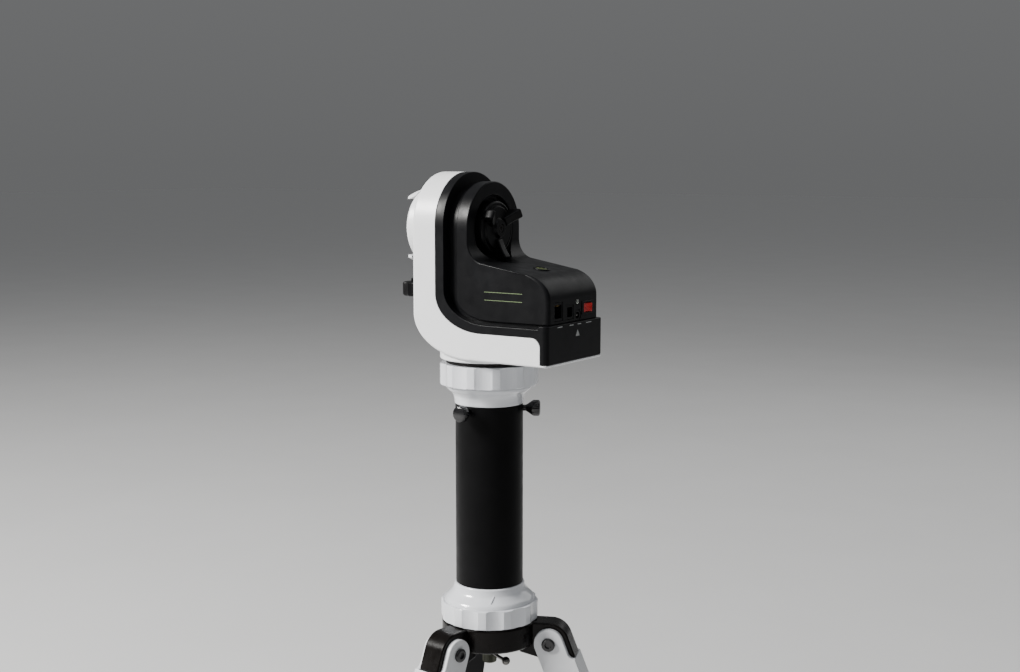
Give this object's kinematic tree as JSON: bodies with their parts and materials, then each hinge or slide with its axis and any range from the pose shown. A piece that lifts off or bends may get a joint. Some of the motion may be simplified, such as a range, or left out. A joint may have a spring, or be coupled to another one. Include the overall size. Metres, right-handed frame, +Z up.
{
  "type": "motorised telescope mount",
  "caption": "Motorised single-arm alt-azimuth telescope mount: an L-shaped white and black head with a dovetail saddle, on a black pier and a white folding tripod.",
  "frame": {"origin": "centre of the footprint's bounding box, on the ground under the three feet", "axes": "+Z up along the azimuth axis; +X from the saddle through the arm to the foot of the head; the saddle faces -X and a telescope's dovetail bar lies along Y"},
  "size_m": [0.5244, 0.4908, 1.0368],
  "materials": {
    "white_paint": "fine satin white paint",
    "leg_white": "white powder coat on aluminium",
    "gloss_white": "glossy white paint on machined aluminium",
    "black_plastic": "satin black moulded plastic",
    "black_knob": "fine-textured black plastic",
    "black_tube": "satin black anodised tube",
    "black_casting": "semi-gloss black painted casting",
    "leg_aluminium": "satin clear anodised",
    "rubber": "matt black rubber",
    "steel": "turned steel",
    "olive_metal": "dull olive-grey plated steel, knurled",
    "brass": "machined brass",
    "circuit_board": "green solder mask",
    "red_plastic": "glossy red",
    "clear_plastic": "clear plastic"
  },
  "bodies": {
    "stand": {"tripod_hub": "black_casting", "leg_pivot_bolt_1": "black_knob", "leg_pivot_bolt_2": "black_knob", "leg_pivot_bolt_3": "black_knob", "pier_base": "gloss_white", "pier_tube": "black_tube", "pier_top_cap": "gloss_white", "azimuth_spindle": "steel", "azimuth_worm_wheel": "brass", "azimuth_encoder_disc": "clear_plastic"},
    "leg_1": {"upper_leg_1": "leg_white", "leg_clamp_collar_1": "black_plastic"},
    "leg_lever_1": {"leg_clamp_lever_1": "black_knob"},
    "leg_section_1": {"lower_leg_1": "leg_aluminium", "rubber_foot_1": "rubber"},
    "leg_2": {"upper_leg_2": "leg_white", "leg_clamp_collar_2": "black_plastic"},
    "leg_lever_2": {"leg_clamp_lever_2": "black_knob"},
    "leg_section_2": {"lower_leg_2": "leg_aluminium", "rubber_foot_2": "rubber"},
    "leg_3": {"upper_leg_3": "leg_white", "leg_clamp_collar_3": "black_plastic"},
    "leg_lever_3": {"leg_clamp_lever_3": "black_knob"},
    "leg_section_3": {"lower_leg_3": "leg_aluminium", "rubber_foot_3": "rubber"},
    "centre_bolt": {"centre_bolt": "olive_metal", "centre_bolt_tommy_bar": "steel"},
    "thumb_screw_1": {"pier_thumb_screw_1": "black_knob"},
    "thumb_screw_2": {"pier_thumb_screw_2": "black_knob"},
    "thumb_screw_3": {"pier_thumb_screw_3": "black_knob"},
    "azimuth_clutch": {"azimuth_clutch_ring": "gloss_white"},
    "head": {"head_frame": "white_paint", "head_cover": "black_plastic", "azimuth_base_flange": "white_paint", "azimuth_bearing": "steel", "azimuth_motor": "steel", "control_board": "circuit_board", "battery_holder": "black_plastic", "hand_control_port": "black_plastic", "shutter_port": "black_plastic", "power_jack": "black_plastic", "status_lamp": "clear_plastic", "power_switch_bezel": "black_knob", "bubble_level": "clear_plastic", "altitude_bearing_saddle_side": "steel", "altitude_bearing_clutch_side": "steel", "altitude_motor": "steel"},
    "azimuth_worm": {"azimuth_worm": "steel"},
    "altitude": {"altitude_shaft": "steel", "altitude_worm_wheel": "brass", "altitude_encoder_disc": "clear_plastic", "saddle_plate": "white_paint"},
    "altitude_worm": {"altitude_worm": "steel"},
    "altitude_clutch": {"altitude_clutch_knob": "black_knob"},
    "clamp_plate": {"saddle_clamp_plate": "steel"},
    "clamp_knob": {"saddle_clamp_knob": "black_knob"},
    "battery_door": {"battery_door": "white_paint"},
    "power_rocker": {"power_rocker": "red_plastic"}
  },
  "joints": [
    {"name": "leg_fold_1", "type": "hinge", "parent": "stand", "child": "leg_1", "pos_m": [0.03873, 0.0781, 0.57882], "axis": [-0.3827, 0.9239, 0], "range_deg": [0, 21]},
    {"name": "leg_extension_1", "type": "slide", "parent": "leg_1", "child": "leg_section_1", "axis": [0.3311, 0.1371, -0.9336], "range_m": [0, 0.24]},
    {"name": "leg_clamp_1", "type": "hinge", "parent": "leg_1", "child": "leg_lever_1", "pos_m": [0.18513, 0.13874, 0.24975], "axis": [-0.3827, 0.9239, 0], "range_deg": [0, 110]},
    {"name": "leg_fold_2", "type": "hinge", "parent": "stand", "child": "leg_2", "pos_m": [-0.06774, 0.09212, 0.57882], "axis": [-0.6088, -0.7934, 0], "range_deg": [0, 21]},
    {"name": "leg_extension_2", "type": "slide", "parent": "leg_2", "child": "leg_section_2", "axis": [-0.2843, 0.2182, -0.9336], "range_m": [0, 0.24]},
    {"name": "leg_clamp_2", "type": "hinge", "parent": "leg_2", "child": "leg_lever_2", "pos_m": [-0.19344, 0.18858, 0.24975], "axis": [-0.6088, -0.7934, 0], "range_deg": [0, 110]},
    {"name": "leg_fold_3", "type": "hinge", "parent": "stand", "child": "leg_3", "pos_m": [-0.02664, -0.00709, 0.57882], "axis": [0.9914, -0.1305, 0], "range_deg": [0, 21]},
    {"name": "leg_extension_3", "type": "slide", "parent": "leg_3", "child": "leg_section_3", "axis": [-0.0468, -0.3553, -0.9336], "range_m": [0, 0.24]},
    {"name": "leg_clamp_3", "type": "hinge", "parent": "leg_3", "child": "leg_lever_3", "pos_m": [-0.04732, -0.16419, 0.24975], "axis": [0.9914, -0.1305, 0], "range_deg": [0, 110]},
    {"name": "centre_bolt_turn", "type": "hinge", "parent": "stand", "child": "centre_bolt", "pos_m": [-0.01855, 0.05438, 0.56182], "axis": [0, 0, 1], "continuous": true},
    {"name": "thumb_screw_travel_1", "type": "slide", "parent": "stand", "child": "thumb_screw_1", "axis": [0.8788, 0.4772, 0], "range_m": [0, 0.006]},
    {"name": "thumb_screw_travel_2", "type": "slide", "parent": "stand", "child": "thumb_screw_2", "axis": [-0.8526, 0.5225, 0], "range_m": [0, 0.006]},
    {"name": "thumb_screw_travel_3", "type": "slide", "parent": "stand", "child": "thumb_screw_3", "axis": [-0.0262, -0.9997, 0], "range_m": [0, 0.006]},
    {"name": "azimuth_clutch_turn", "type": "hinge", "parent": "stand", "child": "azimuth_clutch", "pos_m": [-0.01855, 0.05438, 0.84332], "axis": [0, 0, 1], "range_deg": [0, 90]},
    {"name": "azimuth", "type": "hinge", "parent": "stand", "child": "head", "pos_m": [-0.01855, 0.05438, 0.86082], "axis": [0, 0, 1], "continuous": true},
    {"name": "azimuth_worm_turn", "type": "hinge", "parent": "head", "child": "azimuth_worm", "pos_m": [-0.01855, 0.09098, 0.88042], "axis": [1, 0, 0], "continuous": true},
    {"name": "altitude", "type": "hinge", "parent": "head", "child": "altitude", "pos_m": [-0.03955, 0.05438, 0.98332], "axis": [1, 0, 0], "continuous": true},
    {"name": "altitude_worm_turn", "type": "hinge", "parent": "head", "child": "altitude_worm", "pos_m": [-0.03955, 0.05438, 0.94772], "axis": [0, 1, 0], "continuous": true},
    {"name": "altitude_clutch_turn", "type": "hinge", "parent": "altitude", "child": "altitude_clutch", "pos_m": [-0.01255, 0.05438, 0.98332], "axis": [1, 0, 0], "range_deg": [0, 180]},
    {"name": "saddle_clamp_slide", "type": "slide", "parent": "altitude", "child": "clamp_plate", "axis": [0, 0, -1], "range_m": [0, 0.0032]},
    {"name": "saddle_knob_turn", "type": "hinge", "parent": "clamp_plate", "child": "clamp_knob", "pos_m": [-0.09205, 0.03538, 0.92332], "axis": [0, 0, -1], "range_deg": [0, 900]},
    {"name": "battery_door_travel", "type": "slide", "parent": "head", "child": "battery_door", "axis": [0, 0, -1], "range_m": [0, 0.02]},
    {"name": "power_rocker_tilt", "type": "hinge", "parent": "head", "child": "power_rocker", "pos_m": [0.07395, 0.07863, 0.91032], "axis": [0, 0, 1], "range_deg": [0, 20]}
  ],
  "couplings": [
    {"joint": "azimuth_worm_turn", "follows": "azimuth", "ratio": -24},
    {"joint": "altitude_worm_turn", "follows": "altitude", "ratio": -24},
    {"joint": "saddle_clamp_slide", "follows": "saddle_knob_turn", "m_per_rad": 0.00019894}
  ]
}
